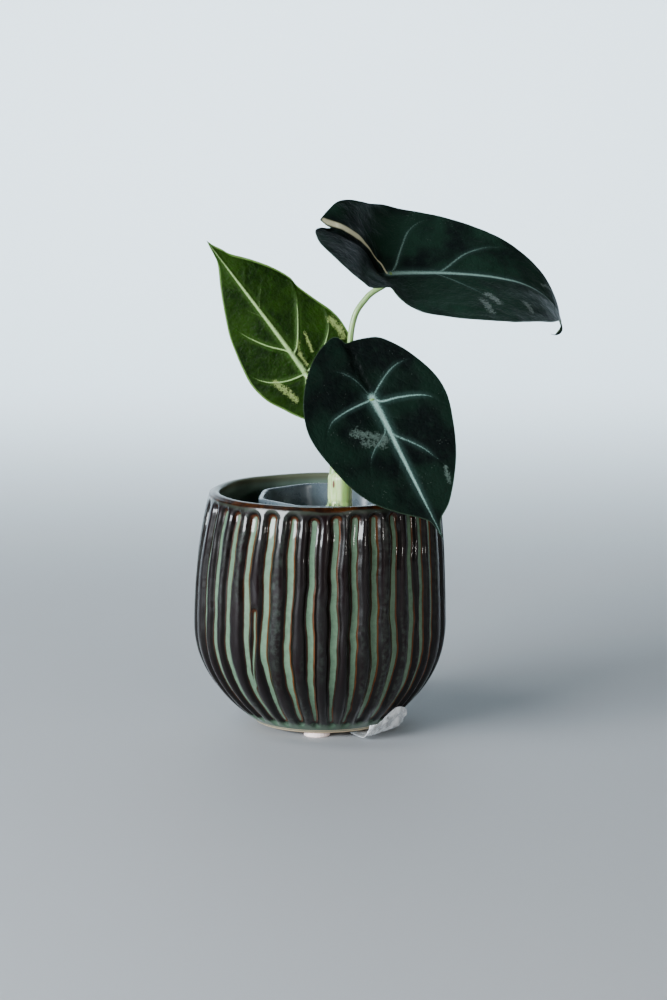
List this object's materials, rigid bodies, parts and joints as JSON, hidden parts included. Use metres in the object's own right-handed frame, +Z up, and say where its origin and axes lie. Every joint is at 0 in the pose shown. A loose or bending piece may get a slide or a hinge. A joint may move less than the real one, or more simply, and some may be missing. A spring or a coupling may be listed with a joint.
{
  "type": "potted alocasia",
  "caption": "Potted alocasia: a fluted glazed cachepot on foot pads, a plastic grower's pot with potting mix inside, and a young plant with dark shield-shaped leaves on stalks.",
  "frame": {"origin": "middle of the footprint of the whole plant's bounding box, on the surface that the pot stands on", "axes": "+Z up; -Y towards the side that the front leaf faces; +X towards the tip of the upper leaf"},
  "size_m": [0.1628, 0.1112, 0.232],
  "materials": {
    "glaze": "glossy celadon glaze pooled over dark brown ribs",
    "pad": "matte",
    "film": "clear film",
    "grower_plastic": "satin",
    "mix": "coarse, damp potting mix",
    "stem": "fleshy, satin",
    "dry_sheath": "dry and papery",
    "stalk": "smooth, satin",
    "blade": "velvety above, satin below"
  },
  "bodies": {
    "root": {"cachepot": "glaze", "foot_pad_front": "pad", "foot_pad_back_right": "pad", "foot_pad_back_left": "pad", "base_film_tab": "film", "grower_pot": "grower_plastic", "growing_medium": "mix", "stem_base": "stem", "old_sheath": "dry_sheath", "petiole_upper": "stalk", "petiole_front": "stalk", "petiole_left": "stalk", "leaf_upper": "blade", "leaf_front": "blade", "leaf_left": "blade"}
  },
  "joints": []
}
